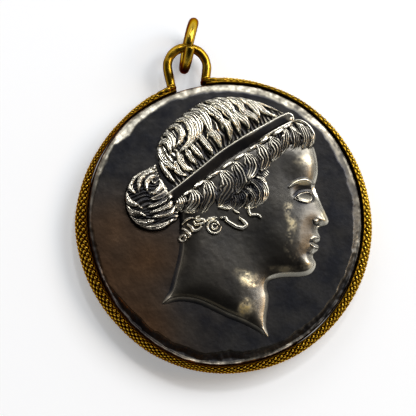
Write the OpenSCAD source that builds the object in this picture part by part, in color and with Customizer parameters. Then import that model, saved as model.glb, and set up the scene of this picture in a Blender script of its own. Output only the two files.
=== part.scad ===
// Coin pendant lying on its back: a cast silver coin with a head in relief, held in a
// gold-plated band with a soldered wire loop, and an open jump ring through the loop.
// Millimetres. The origin is at the centre of the base, +Z comes out of the coin's face
// and +Y runs from the coin's centre to the loop.

/* [Coin] */
// Width of the oval coin
coin_w = 37.2; // [35:0.1:38]
// Length of the oval coin
coin_l = 38.6; // [37:0.1:38.7]
// Turn of the coin's long axis from the Y axis, in degrees
oval_turn = -27; // [-45:1:45]
// Height of the coin's field above the table
field_z = 3.6; // [3:0.1:3.8]
// Drop from the field to the rough ledge round it
ledge_drop = 0.6; // [0.3:0.1:1]
// Turn of the portrait about the coin's axis, in degrees
portrait_turn = -14; // [-30:1:30]

/* [Relief] */
// Height of the cheek and neck above the field
face_h = 1.0; // [0.5:0.1:1.4]
// Height of the hair's masses above the field, before their locks
hair_h = 0.95; // [0.5:0.1:1.4]
// Height of the hair band above the field
headband_h = 1.35; // [0.8:0.1:1.8]
// Height that each lock adds to its mass
lock_h = 0.4; // [0.2:0.05:0.6]
// Cells of the relief's net along each side
net_cells = 64; // [40:4:68]

/* [Band] */
// Outside radius of the band at its fullest
band_r = 20.15; // [19.9:0.05:20.6]
// Height of the band
band_h = 4; // [3.6:0.1:5]
// Thickness of the band's inner wall
wall_t = 0.35; // [0.3:0.05:0.6]
// Gap between the coin and the band
seat_gap = 0.12; // [0.08:0.01:0.2]

/* [Loop] */
// Wire of the loop
wire_d = 1.2; // [1:0.05:1.4]
// Radius of the loop, to the middle of its wire
loop_r = 2.7; // [2.3:0.1:3]
// Place of the loop's centre
loop_centre = [0.43, 22.35];
// Distance between the middles of the loop's feet
loop_foot_w = 4.7; // [4:0.1:5]
// Distance of the feet from the coin's centre
loop_foot_y = 19.75; // [19.6:0.05:20]
// Length of the solder along the band at each foot
solder_l = 2.4; // [1.6:0.1:3]
// Height of the solder, across the band
solder_h = 2; // [1.4:0.1:2.6]

/* [Jump ring] */
// Wire of the jump ring
ring_wire_d = 1.3; // [1.1:0.05:1.35]
// Outside diameter of the jump ring
ring_d = 7.8; // [7.4:0.1:8.2]
// Turn of the jump ring about Z from the X axis, in degrees
ring_turn = 66; // [50:1:80]
// Width of the cut in the jump ring
ring_cut = 0.15; // [0.05:0.05:0.4]
// Place of the cut, in degrees from the side away from the coin
ring_cut_at = 105; // [60:5:120]
// Place of the jump ring's centre
ring_centre = [1.04, 24.75];

/* [Hidden] */
$fn = 64;

loop_z = band_h / 2;
seat_w = coin_w / 2 + seat_gap;
seat_l = coin_l / 2 + seat_gap;
// Width of a mass's flank, and of the slope down to the ledge
flank_w = 0.6;
// Plain strip of the field inside its raw edge
field_margin = 0.3;
// Radius at which the bulge leaves the band's lips, and the height of each lip
bulge_in = 18.7;
lip_h = 0.15;
bulge_half = band_h / 2 - lip_h;
// Depth that parts reach into each other where they are joined
joint = 0.4;
leg_sunk = 0.3;
// Spare size of the leg's round end, which closes the joint with the arc
leg_spare = 0.03;
// Depth that the solder reaches inside the seat, and its rise up the leg
solder_in = 0.5;
solder_rise = 0.7;
solder_bevel = 0.2;
// Share of the solder's length at which it meets the band, and how far inside the bulge
solder_end = 0.8;
solder_shy = 0.35;
cutter_spare = 1;
ring_r = (ring_d - ring_wire_d) / 2;

// The raw edge of the field: [angle in degrees, radius]
field_edge = [
    [0, 17.5], [10, 17.7], [25, 17.5], [37, 18.1], [50, 18.4], [65, 18.2], [90, 18.2],
    [107, 17.9], [112, 18.1], [130, 17.9], [138, 17.5], [145, 18], [158, 17.5], [168, 18],
    [180, 18], [195, 17.7], [208, 17.9], [219, 17.4], [230, 17.6], [246, 17.8], [252, 17.7],
    [262, 18], [272, 17.4], [283, 17.8], [300, 17.6], [330, 17.6], [345, 17.7], [360, 17.5]];

// The portrait's outlines, in its own upright frame: [right, up]
head_outline = [
    [9, 12], [12, 11], [12.6, 9], [12.6, 6.8], [12.2, 5.4], [12.9, 3.6], [14, 1], [13.8, 0],
    [12.6, -0.5], [12.9, -1.8], [12.4, -2.5], [12.6, -3.2], [11.9, -4], [12.3, -5.2],
    [11.6, -6.5], [10, -7.1], [7.5, -7.2], [5.6, -7.7], [5.8, -9.8], [5.3, -12.5], [5.4, -15.4],
    [2, -13.7], [-1, -12.4], [-4, -11.1], [-6, -10.8], [-8.8, -11.2], [-7.6, -9], [-6.6, -5.6],
    [-6.2, -3], [-6.4, 2], [-3, 8]];
crown_outline = [
    [-9.3, 8.4], [-9.3, 9.9], [-9, 11.1], [-8.2, 12.5], [-6, 14.7], [-3.8, 16.3], [-2.2, 17],
    [-0.5, 17.3], [1, 17.4], [2.5, 17.3], [4, 17], [5.5, 16.5], [7, 15.8], [8.6, 14.8],
    [5, 12.8], [1, 10], [-3, 6.8], [-6.6, 4]];
roll_outline = [
    [-6.6, 3.4], [-3, 6.4], [1, 9.6], [5, 12.4], [8.4, 13.9], [10.4, 14], [11.8, 12.8],
    [12.2, 11.2], [11.4, 9.9], [9.6, 9.4], [7.2, 9], [5.9, 8], [4.9, 6.6], [4.4, 5.4],
    [4.8, 3.8], [4.3, 2.4], [2.3, 1.5], [0.2, 1.5], [-2.2, 1], [-4.4, 0.8], [-6.4, 1.3]];
bun_outline = [
    [-9.5, 7.6], [-11.3, 6.8], [-12.6, 5.9], [-13.4, 4.3], [-13.6, 3], [-13.4, 1.4],
    [-12.6, 0], [-11.2, -1.1], [-9.6, -1.3], [-8, -1], [-6.5, 0.3], [-6.3, 1.8], [-7.3, 3.8],
    [-8.3, 5.4]];

// The jaw, cheek, lips and eye as rounded pads: [right, up, half width, half height, rise]
face_pads = [
    [8.2, 1.5, 7.2, 9.2, 0.35],
    [7.6, -1.4, 4.2, 4, 0.3],
    [11, 7.6, 2.6, 3.4, 0.2],
    [9.9, 3.5, 1.3, 0.7, 0.3],
    [12.1, 0.4, 1, 0.9, 0.3],
    [11.7, -1.9, 1.2, 0.5, 0.25],
    [11.6, -3, 1, 0.5, 0.25],
    [10.6, -5.6, 1.6, 1.2, 0.25]];

// The middle of the hair band, from the nape to the forehead
headband_path = [[-6.6, 3.6], [0, 9.7], [8.4, 14.2]];
headband_w = 1.8;

// Locks as bent strokes: [start, bend, end, width]
crown_locks = [
    [[-8.9, 10.6], [-8, 11.6], [-7.4, 9.6], 0.9],
    [[-8.3, 12], [-5.8, 13.4], [-6.6, 10.4], 1.1],
    [[-6.6, 13.6], [-3.9, 13.2], [-5.4, 10.2], 1],
    [[-5.3, 14.6], [-3.2, 13.8], [-4, 11.2], 1.3],
    [[-4.2, 15.6], [-2, 14], [-2.2, 11.8], 1.3],
    [[-2.4, 12.4], [-0.8, 11.8], [-0.6, 10.3], 1],
    [[-3.1, 16.3], [-0.6, 15.2], [-0.8, 13.6], 1.2],
    [[-1, 14], [0.6, 13.4], [0.7, 11.7], 1],
    [[-1.9, 16.9], [0, 15.8], [0.3, 14.4], 1.1],
    [[0.2, 14.8], [1.7, 14], [1.9, 12.5], 1],
    [[-0.4, 17.2], [1, 16.2], [1.2, 14.8], 1.1],
    [[1.1, 15], [2.4, 14.6], [3.2, 13.2], 1],
    [[1, 17.2], [2, 16.2], [2.5, 15.2], 1],
    [[2.4, 15.5], [3.6, 15], [4.5, 14], 1],
    [[2.3, 17.1], [4.2, 16.2], [4.9, 14.8], 1],
    [[3.2, 17], [4.8, 15.5], [7.1, 14.9], 1],
    [[4, 17], [6, 16.4], [8, 15.3], 0.9],
    [[-8.7, 9.4], [-8.2, 7.8], [-6.5, 7], 1],
    [[-9, 8.6], [-8.4, 7], [-6.9, 5.4], 0.9],
    [[-6.3, 9.2], [-6, 7.4], [-4.5, 7.1], 1],
    [[-5, 10.2], [-4.4, 9], [-3.4, 8.2], 1.1],
    [[-3.4, 11.6], [-2.6, 10.8], [-1.9, 9.4], 1.1]];
roll_locks = [
    [[-6.2, 3.2], [-4.6, 2.8], [-5.6, 1.4], 1.4],
    [[-4.7, 4.1], [-2.8, 3.4], [-3.8, 1.2], 1.6],
    [[-2.9, 5.5], [-1, 4.2], [-2, 1.6], 1.6],
    [[-0.8, 6.8], [1.6, 5.2], [0.2, 2.2], 1.8],
    [[0.9, 8.1], [3, 6.4], [2.4, 3], 1.7],
    [[2.6, 9.3], [4.2, 7.8], [3.6, 6.2], 1.7],
    [[4.3, 10.5], [5.8, 9.4], [5.4, 7.4], 1.6],
    [[5.9, 11.6], [7.4, 10.6], [6.8, 8.8], 1.6],
    [[7.8, 13.2], [9, 11.8], [8.4, 9.8], 1.6],
    [[9.6, 13.6], [11, 12], [10.2, 10.2], 1.6],
    [[3, 5.4], [4.9, 4.2], [4.2, 2.8], 1]];
bun_locks = [
    [[-9.6, 7.2], [-13, 6.4], [-12.6, 3.8], 1.1],
    [[-9.5, 6.6], [-11.8, 5.6], [-11.6, 3.4], 1.1],
    [[-9.2, 5.8], [-10.6, 5.2], [-10.4, 3.8], 0.9],
    [[-8.6, 5.2], [-8.8, 3.6], [-10.4, 2.8], 0.9],
    [[-8, 3.8], [-8.6, 2.4], [-10.6, 1.7], 0.9],
    [[-13.2, 3.4], [-13, 1.6], [-11.8, 0.6], 0.9],
    [[-12.8, 0.8], [-11.4, -0.8], [-9.2, -0.6], 0.9],
    [[-7.3, 3], [-7.4, 1], [-9.6, 0.6], 1]];
curl_locks = [
    [[-2.4, -0.5], [-1.6, 1], [-0.8, -0.5], 0.6],
    [[-2.4, -0.8], [-1.6, -2.2], [-0.8, -0.8], 0.6],
    [[-5.8, -0.4], [-5.2, 0.5], [-3.2, 0.2], 0.6],
    [[-5.4, -0.6], [-4.2, -1.4], [-3.2, -0.4], 0.7],
    [[-5.8, -1.2], [-4.6, -1.4], [-5.8, -2.6], 0.8],
    [[-0.4, 0.6], [0.6, -0.6], [2.2, -0.6], 0.7],
    [[1.7, 0.6], [2.8, 0.2], [2.4, -0.7], 0.6],
    [[2.6, 1.8], [3.2, 0.8], [4.5, 0.7], 0.6]];

function turned(p, a) = [p.x * cos(a) - p.y * sin(a), p.x * sin(a) + p.y * cos(a)];
function clamp01(x) = max(0, min(1, x));
// Rise of a rounded edge: 0 at the edge, 1 at w inside it
function rise(d, w) = d <= 0 ? 0 : sqrt(1 - pow(1 - clamp01(d / w), 2));
function along(p, a, b) = clamp01((p - a) * (b - a) / ((b - a) * (b - a)));
function off_segment(p, a, b) = norm(p - a - along(p, a, b) * (b - a));
function crosses(p, a, b) =
    (a.y > p.y) != (b.y > p.y) && p.x < a.x + (b.x - a.x) * (p.y - a.y) / (b.y - a.y);
function next(i, pts) = (i + 1) % len(pts);
function inside(p, pts) =
    len([for (i = [0:len(pts) - 1]) if (crosses(p, pts[i], pts[next(i, pts)])) 1]) % 2 == 1;
// Depth of a point inside an outline, negative outside it
function depth(p, pts) = (inside(p, pts) ? 1 : -1) *
    min([for (i = [0:len(pts) - 1]) off_segment(p, pts[i], pts[next(i, pts)])]);
// Steep flank of a mass, from 0 to 1 across its outline
function flank(d) = clamp01(d / flank_w + 0.5);

// Distance to a bent stroke, taken as five straight pieces
function bent(s, t) = (1 - t) * (1 - t) * s[0] + 2 * t * (1 - t) * s[1] + t * t * s[2];
function off_stroke(p, s) =
    min([for (k = [0:4]) off_segment(p, bent(s, k / 5), bent(s, (k + 1) / 5))]);
function stroke(p, s, w) = rise(w / 2 - off_stroke(p, s), w / 2);
function locks(p, table) = max([for (s = table) stroke(p, s, s[3])]);
function pad(p, q) = q[4] * rise(1 - norm([(p.x - q[0]) / q[2], (p.y - q[1]) / q[3]]), 0.6);
function sum(v, i = 0) = i >= len(v) ? 0 : v[i] + sum(v, i + 1);

function head_rise(p) = let (d = depth(p, head_outline)) d < -flank_w ? 0 :
    face_h * (0.35 * flank(d) + 0.65 * rise(d, 3)) + sum([for (q = face_pads) pad(p, q)]) * rise(d, 0.8);
function mass_rise(p, outline, table, w) = let (d = depth(p, outline)) d < -flank_w ? 0 :
    (hair_h * (0.3 + 0.7 * rise(d, w)) + lock_h * locks(p, table)) * flank(d);
function headband_rise(p) = headband_h * stroke(p, headband_path, headband_w);
function curl_rise(p) = let (k = locks(p, curl_locks)) k <= 0 ? 0 : 0.35 + head_rise(p) * 0.8 + lock_h * k;

function relief(p) = max(
    head_rise(p),
    mass_rise(p, crown_outline, crown_locks, 4),
    mass_rise(p, roll_outline, roll_locks, 2.5),
    mass_rise(p, bun_outline, bun_locks, 3),
    headband_rise(p),
    curl_rise(p));

function face_z(p) =
    let (a = atan2(p.y, p.x), b = a < 0 ? a + 360 : a, e = lookup(b, field_edge) - norm(p))
    field_z - ledge_drop * clamp01(0.5 - e / flank_w) + (e > field_margin ? relief(p) : 0);

// An oval of two arcs that meet on its long axis: its radius r and the arcs' offset c
function oval_r(w, l) = (w * w + l * l) / (2 * w);
function oval_reach(w, l, a) = let (r = oval_r(w, l), c = r - w)
    sqrt(r * r - pow(c * sin(a), 2)) - c * abs(cos(a));

// A square net laid over the oval disc
function on_disc(u, v) = let (
    x = u * sqrt(1 - v * v / 2),
    y = v * sqrt(1 - u * u / 2))
    oval_reach(coin_w / 2, coin_l / 2, atan2(y, x) - oval_turn) * [x, y];
function net_step(i) = 2 * i / net_cells - 1;
function on_top(p) = [p.x, p.y, face_z(turned(p, -portrait_turn))];

// Round the net's edge: [column, row], anticlockwise
function net_edge() = let (n = net_cells) concat(
    [for (i = [0:n - 1]) [i, 0]],
    [for (j = [0:n - 1]) [n, j]],
    [for (i = [0:n - 1]) [n - i, n]],
    [for (j = [0:n - 1]) [0, n - j]]);

module coin() {
    n = net_cells;
    row = n + 1;
    edge = net_edge();
    count = len(edge);
    top = [for (j = [0:n], i = [0:n]) on_top(on_disc(net_step(i), net_step(j)))];
    rim = [for (e = edge) let (p = on_disc(net_step(e[0]), net_step(e[1]))) [p.x, p.y, 0]];
    low = len(top);
    top_faces = [for (j = [0:n - 1], i = [0:n - 1], half = [0, 1])
        let (a = j * row + i, b = a + 1, c = a + row, d = c + 1, slant = (i + j) % 2 == 0)
        half == 0 ? (slant ? [a, d, b] : [a, c, b]) : (slant ? [a, c, d] : [b, c, d])];
    side_faces = [for (k = [0:count - 1], half = [0, 1])
        let (m = (k + 1) % count, s = edge[k][1] * row + edge[k][0], t = edge[m][1] * row + edge[m][0])
        half == 0 ? [s, t, low + k] : [t, low + m, low + k]];
    back_faces = [for (k = [0:count - 1]) [low + (k + 1) % count, low + count, low + k]];
    color("dimgray")
        polyhedron(concat(top, rim, [[0, 0, 0]]), concat(top_faces, side_faces, back_faces));
}

// Flat oval of two arcs
module oval(w, l) {
    r = oval_r(w, l);
    rotate(oval_turn) intersection() {
        translate([w - r, 0]) circle(r, $fn = 180);
        translate([r - w, 0]) circle(r, $fn = 180);
    }
}

// Convex side of the band, as an arc between its two lips
module bulge_section() {
    sag = band_r - bulge_in;
    r = (sag * sag + bulge_half * bulge_half) / (2 * sag);
    intersection() {
        translate([band_r - r, band_h / 2]) circle(r);
        translate([bulge_in - joint, 0]) square([sag + 2 * joint, band_h]);
    }
}

module band() {
    rotate_extrude($fn = 180) bulge_section();
    linear_extrude(band_h) oval(seat_w + wall_t, seat_l + wall_t);
}

// One leg of the loop, straight from its foot until it meets the round part at a tangent
function tangent_angle(foot, side) =
    let (to = loop_centre - foot)
    atan2(to.y, to.x) - side * asin(loop_r / norm(to));
function leg_length(foot) = let (to = loop_centre - foot) sqrt(to * to - loop_r * loop_r);

module leg(foot, side) {
    dir = tangent_angle(foot, side);
    translate([foot.x, foot.y, loop_z])
        rotate([0, 90, dir]) {
            translate([0, 0, -leg_sunk]) cylinder(h = leg_length(foot) + leg_sunk - leg_spare, d = wire_d);
            translate([0, 0, leg_length(foot)]) sphere(wire_d / 2 + leg_spare);
        }
}

module loop() {
    right_foot = [loop_foot_w / 2, loop_foot_y];
    left_foot = [-loop_foot_w / 2, loop_foot_y];
    from = tangent_angle(right_foot, 1) - 90;
    to = tangent_angle(left_foot, -1) + 90;
    leg(right_foot, 1);
    leg(left_foot, -1);
    translate([loop_centre.x, loop_centre.y, loop_z])
        rotate([0, 0, from])
            rotate_extrude(angle = to - from)
                translate([loop_r, 0]) circle(d = wire_d);
}

// Solder that runs from each foot a little way along the band
module solder(side) {
    near = loop_foot_w / 2 - wire_d / 2;
    translate([0, 0, loop_z - solder_h / 2])
        linear_extrude(solder_h)
            scale([side, 1])
                polygon([
                    [near, seat_l - solder_in], [near, loop_foot_y],
                    [near + solder_bevel, loop_foot_y + solder_rise],
                    [near + wire_d, loop_foot_y + solder_rise],
                    [near + solder_l * solder_end, band_r - solder_shy],
                    [near + solder_l, seat_l - solder_in]]);
}

module bezel() {
    gap = loop_foot_w - leg_sunk;
    color("goldenrod") difference() {
        union() {
            difference() {
                band();
                translate([-gap / 2, 0, -cutter_spare]) cube([gap, 2 * band_r, band_h + 2 * cutter_spare]);
            }
            loop();
            solder(1);
            solder(-1);
        }
        translate([0, 0, -cutter_spare]) linear_extrude(band_h + 2 * cutter_spare) oval(seat_w, seat_l);
    }
}

module jump_ring() {
    cut = ring_cut / ring_r * 180 / PI;
    color("goldenrod")
        translate([ring_centre.x, ring_centre.y, ring_d / 2])
            rotate([90, 0, ring_turn])
                rotate([0, 0, ring_cut_at + cut / 2])
                    rotate_extrude(angle = 360 - cut)
                        translate([ring_r, 0]) circle(d = ring_wire_d);
}

coin();
bezel();
jump_ring();
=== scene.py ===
# Coin pendant lying on its back: a cast silver coin with a head in relief, its knurled gold-plated
# band with a soldered wire loop, and an open jump ring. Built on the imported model, in metres.
import math
import bpy
import numpy as np
from mathutils import Matrix, Vector


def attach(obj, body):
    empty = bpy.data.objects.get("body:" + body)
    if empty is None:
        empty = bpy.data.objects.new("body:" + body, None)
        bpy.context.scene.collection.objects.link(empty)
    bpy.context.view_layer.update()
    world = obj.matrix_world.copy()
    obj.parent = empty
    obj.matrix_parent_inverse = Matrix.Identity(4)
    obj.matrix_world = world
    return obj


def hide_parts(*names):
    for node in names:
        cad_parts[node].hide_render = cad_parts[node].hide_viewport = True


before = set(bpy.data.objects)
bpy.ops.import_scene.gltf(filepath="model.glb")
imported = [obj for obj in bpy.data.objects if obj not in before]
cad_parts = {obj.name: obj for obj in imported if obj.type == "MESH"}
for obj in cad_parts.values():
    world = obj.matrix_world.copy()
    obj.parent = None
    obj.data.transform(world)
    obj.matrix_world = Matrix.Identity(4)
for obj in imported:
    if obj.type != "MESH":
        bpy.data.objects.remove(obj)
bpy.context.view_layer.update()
mm = 0.001

view = {
    "middle": (-1.5, 2.76, 2),  # mm, the point at the frame's middle
    "tilt": 13,  # degrees between the sight line and the coin's axis
    "toward": 223,  # degrees from +X, the side that the camera leans to
    "roll": 14,  # degrees that the loop stands left of the picture's vertical
    "distance": 375,
    "frameWidth": 56.1,  # mm across the picture at the middle
    "sensor": 36,
}


# Unit vector at an angle from +X and an angle above the floor, in degrees
def pointing(angle, above):
    a = math.radians(angle)
    e = math.radians(above)
    return Vector((math.cos(a) * math.cos(e), math.sin(a) * math.cos(e), math.sin(e)))


def makeCamera():
    roll = math.radians(view["roll"])
    back = pointing(view["toward"], 90 - view["tilt"])
    up = Vector((math.sin(roll), math.cos(roll), 0))
    right = up.cross(back).normalized()
    up = back.cross(right)
    data = bpy.data.cameras.new("camera")
    data.sensor_width = view["sensor"]
    data.lens = view["sensor"] * view["distance"] / view["frameWidth"]
    data.clip_start = 0.01
    data.clip_end = 20
    camera = bpy.data.objects.new("camera", data)
    bpy.context.scene.collection.objects.link(camera)
    spot = Vector(view["middle"]) * mm + back * view["distance"] * mm
    camera.matrix_world = Matrix.Translation(spot) @ Matrix((right, up, back)).transposed().to_4x4()
    bpy.context.scene.camera = camera


makeCamera()
print("camera set")


# Soft bumps between -0.5 and 0.5, each about size across
def softNoise(x, y, size, seed):
    grid = np.random.default_rng(seed).random((64, 64))
    gx = x / size
    gy = y / size
    ix = np.floor(gx).astype(int)
    iy = np.floor(gy).astype(int)
    fx = gx - ix
    fy = gy - iy
    fx = fx * fx * (3 - 2 * fx)
    fy = fy * fy * (3 - 2 * fy)
    low = grid[ix % 64, iy % 64] * (1 - fx) + grid[(ix + 1) % 64, iy % 64] * fx
    high = grid[ix % 64, (iy + 1) % 64] * (1 - fx) + grid[(ix + 1) % 64, (iy + 1) % 64] * fx
    return low * (1 - fy) + high * fy - 0.5


# A smooth line through the points, given as pairs or as one flat row
def smoothLine(points, steps, closed=False):
    p = np.array(points, float).reshape(-1, 2)
    if closed:
        p = np.vstack([p[-1], p, p[0], p[1]])
    else:
        p = np.vstack([2 * p[0] - p[1], p, 2 * p[-1] - p[-2]])
    line = []
    for k in range(1, len(p) - 2):
        a, b, c, d = p[k - 1:k + 3]
        for t in np.arange(steps) / steps:
            line.append(0.5 * (2 * b + (c - a) * t + (2 * a - 5 * b + 4 * c - d) * t ** 2
                               + (3 * b - a - 3 * c + d) * t ** 3))
    if not closed:
        line.append(p[-2])
    return np.array(line)


# Distance to a line, the same with a sign (left of it positive), and the place along it from 0 to 1
def nearLine(u, v, line):
    best = np.full(u.shape, 1e9)
    side = np.zeros(u.shape)
    place = np.zeros(u.shape)
    steps = np.hypot(*np.diff(line, axis=0).T)
    reach = np.r_[0, np.cumsum(steps)]
    for k in range(len(line) - 1):
        a = line[k]
        e = line[k + 1] - a
        if steps[k] < 1e-9:
            continue
        t = np.clip(((u - a[0]) * e[0] + (v - a[1]) * e[1]) / steps[k] ** 2, 0, 1)
        du = u - a[0] - t * e[0]
        dv = v - a[1] - t * e[1]
        d = np.hypot(du, dv)
        near = d < best
        best = np.where(near, d, best)
        side = np.where(near, np.where(e[0] * dv - e[1] * du < 0, -d, d), side)
        place = np.where(near, (reach[k] + t * steps[k]) / reach[-1], place)
    return best, side, place


# Depth inside a closed outline, negative outside it
def insideDepth(u, v, outline, steps=4):
    ring = smoothLine(outline, steps, True)
    ring = np.vstack([ring, ring[:1]])
    d = nearLine(u, v, ring)[0]
    crossed = np.zeros(u.shape, bool)
    for a, b in zip(ring[:-1], ring[1:]):
        if a[1] != b[1]:
            at = a[0] + (b[0] - a[0]) * (v - a[1]) / (b[1] - a[1])
            crossed ^= ((a[1] > v) != (b[1] > v)) & (u < at)
    return np.where(crossed, d, -d)


# Rounded edge: 0 at the edge, 1 at width inside it
def rounded(d, width):
    return np.sqrt(1 - (1 - np.clip(d / width, 0, 1)) ** 2)


def smoothStep(x):
    x = np.clip(x, 0, 1)
    return x * x * (3 - 2 * x)


# Mean over a square of cells
def blur(field, cells):
    for axis in (0, 1):
        pad = [(0, 0), (0, 0)]
        pad[axis] = (cells + 1, cells)
        total = np.cumsum(np.pad(field, pad, mode="edge"), axis=axis)
        n = field.shape[axis]
        span = 2 * cells + 1
        high = np.take(total, range(span, span + n), axis=axis)
        low = np.take(total, range(n), axis=axis)
        field = (high - low) / span
    return field


# Value at each angle, from rows that start with degrees
def byAngle(rows, angle, column=1):
    rows = np.array(rows, float)
    return np.interp(np.degrees(angle) % 360, rows[:, 0], rows[:, column], period=360)


# Raises locks that grow from a narrow root, each combed into strands that meet at its ends. Every row
# of locks and strokes here holds its width and lift, and then right and up of each point
def addLocks(u, v, rise, base, locks, strands, groove, blunt=0.5, slim=1, uneven=1):
    for width, lift, *points in locks:
        line = smoothLine(points, 6)
        least = line.min(0) - width
        most = line.max(0) + width
        near = (u > least[0]) & (u < most[0]) & (v > least[1]) & (v < most[1])
        if not near.any():
            continue
        d, side, place = nearLine(u[near], v[near], line)
        seed = int(abs(points[0]) * 70 + abs(points[1]) * 13)
        taper = np.clip(place * 3, 0.02, 1) ** 0.6 * np.clip((1 - place) * 2.5, 0.02, 1) ** blunt
        half = slim * width / 2 * taper * (1 + 0.35 * softNoise(u[near], v[near], 0.45, seed))
        half = np.maximum(half, 0.01)
        q = np.clip(side / half, -1, 1)
        strand = strands * (q + 1) / 2 + 0.5 * softNoise(place * 4, q, 0.8, seed)
        strand = strand + 0.2 * np.sin(place * 6 + seed)
        high = 0.5
        if strands > 1:
            heights = np.random.default_rng(seed).random(20)
            high = 0.5 + uneven * (heights[np.floor(strand).astype(int) % 20] - 0.5)
        comb = np.abs(np.sin(np.pi * strand))
        body = lift * (0.7 + 0.3 * place) * (0.62 + 0.6 * high) * np.sqrt(1 - q * q) ** 0.7
        body = body - groove * (1 - comb) ** 1.2
        top = base[near] + body * np.clip(half * 5, 0, 1)
        rise[near] = np.maximum(rise[near], np.where(d < half, top, -9))
    return rise


coin = {
    "width": 37.2,
    "length": 38.6,
    "ovalTurn": -27,  # degrees from the Y axis to the long axis
    "uneven": [  # how far the raw rim departs from the oval: [degrees, mm]
        [0, 0.25], [26, 0.55], [46, 0.45], [61, 0.2], [81, 0.15], [101, 0.2], [121, 0.35], [141, 0.2],
        [161, -0.1], [186, -0.35], [211, -0.25], [231, 0], [246, 0.1], [266, 0], [286, -0.1], [326, -0.05]],
    "fieldZ": 3.6,  # height of the field above the table
    "ledgeDrop": 0.6,
    "slope": 0.75,  # width of the slope from the field down to the ledge
    "rimRise": 0.3,
    "portraitTurn": -14,  # degrees
    "net": 290,
    "hammered": 0.05,  # unevenness of the field, in mm
    "edge": [  # raw edge of the field: [degrees in the portrait, radius]
        [0, 17.5], [10, 17.8], [25, 17.9], [37, 18.2], [50, 18.5], [65, 18.3], [90, 18.2],
        [107, 18], [112, 18.2], [130, 17.9], [138, 17.6], [145, 18.1], [158, 17.8], [168, 18],
        [180, 18], [195, 17.7], [208, 17.9], [219, 17.4], [230, 17.6], [246, 17.8], [252, 17.7],
        [262, 18], [272, 17.4], [283, 17.8], [300, 17.6], [330, 17.6], [345, 17.7]],
    "rubbedAndPaintedLight": [  # how bright the ledge is painted: rubbed silver, painted lighter on the upper side and darker below as painted light and shade: [degrees in the portrait, its slope, its rim]
        [0, 0.2, 0.25], [14, 0.1, 0.16], [25, 0.15, 0.3], [50, 0.35, 0.45], [90, 0.42, 0.4],
        [115, 0.48, 0.4], [150, 0.62, 0.45], [168, 0.3, 0.15], [190, 0.05, 0.05], [220, 0, 0],
        [240, 0, 0.1], [255, 0, 0.32], [295, 0.05, 0.32], [310, 0, 0.1], [335, 0, 0], [350, 0.2, 0.2]],
}


# From the portrait's own upright frame to the object's
def toObject(u, v):
    a = math.radians(coin["portraitTurn"])
    return u * math.cos(a) - v * math.sin(a), u * math.sin(a) + v * math.cos(a)


def toPortrait(x, y):
    a = math.radians(coin["portraitTurn"])
    return x * math.cos(a) + y * math.sin(a), y * math.cos(a) - x * math.sin(a)


# Radius of the coin's raw rim, and of the seat round it: an uneven oval of two arcs
def ovalReach(gap, angle):
    halfWidth = coin["width"] / 2 + gap
    halfLength = coin["length"] / 2 + gap
    r = (halfWidth ** 2 + halfLength ** 2) / (2 * halfWidth)
    c = r - halfWidth
    more = byAngle(coin["uneven"], angle)
    angle = angle - math.radians(coin["ovalTurn"])
    return np.sqrt(r * r - (c * np.sin(angle)) ** 2) - c * np.abs(np.cos(angle)) + more


def newGrid(name, columns, rows):
    bpy.ops.object.select_all(action="DESELECT")
    bpy.ops.mesh.primitive_grid_add(x_subdivisions=columns, y_subdivisions=rows, size=1)
    ob = bpy.context.object
    ob.name = name
    ob.data.name = name
    co = np.empty(len(ob.data.vertices) * 3)
    ob.data.vertices.foreach_get("co", co)
    co = co.reshape(-1, 3)
    i = np.rint((co[:, 0] + 0.5) * columns).astype(int)
    j = np.rint((co[:, 1] + 0.5) * rows).astype(int)
    return ob, i, j


def setPoints(ob, x, y, z):
    ob.data.vertices.foreach_set("co", (np.stack([x, y, z], 1) * mm).ravel())
    ob.data.update()


def setAttribute(ob, name, values):
    layer = ob.data.attributes.new(name, "FLOAT", "POINT")
    layer.data.foreach_set("value", np.asarray(values, np.float32))


def setMode(mode):
    bpy.ops.object.mode_set(mode=mode)


def selectOpenEdges():
    setMode("EDIT")
    bpy.ops.mesh.select_mode(type="EDGE")
    bpy.ops.mesh.select_all(action="DESELECT")
    bpy.ops.mesh.select_non_manifold()


# Caps the open ends and turns all faces outwards
def capEnds():
    selectOpenEdges()
    bpy.ops.mesh.fill_holes(sides=0)
    bpy.ops.mesh.select_all(action="SELECT")
    bpy.ops.mesh.normals_make_consistent(inside=False)
    setMode("OBJECT")


# Joins the edges that meet and caps the ends
def closeSeams():
    setMode("EDIT")
    bpy.ops.mesh.select_all(action="SELECT")
    bpy.ops.mesh.remove_doubles(threshold=1e-7)
    setMode("OBJECT")
    capEnds()


# Walls down from the open edge to the given height, and a floor that closes the piece
def closeBelow(ob, z):
    bpy.context.view_layer.objects.active = ob
    selectOpenEdges()
    bpy.ops.mesh.extrude_region_move()
    setMode("OBJECT")
    for vertex in ob.data.vertices:
        if vertex.select:
            vertex.co.z = z * mm
    capEnds()


relief = {  # what every piece of the portrait has, unless its own dictionary says otherwise
    "worn": 0.5,  # brightness of a level place
    "depth": 0.3,  # mm of hollow that take a place from bright to black
    "brown": 0.15,  # share of the brown tint, a painted warm reflection
    "goldenHighlight": 0,  # how much the rubbed places take a painted golden highlight and turn rough
    "sunk": 0.3,  # how far a piece reaches down into the field
    "foot": 0.2,  # how much deeper its walls go
    "nearHollows": (0.8, 0.35),  # share, and how far round it a place is compared
    "wideHollows": (0.6, 1),
}


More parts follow.
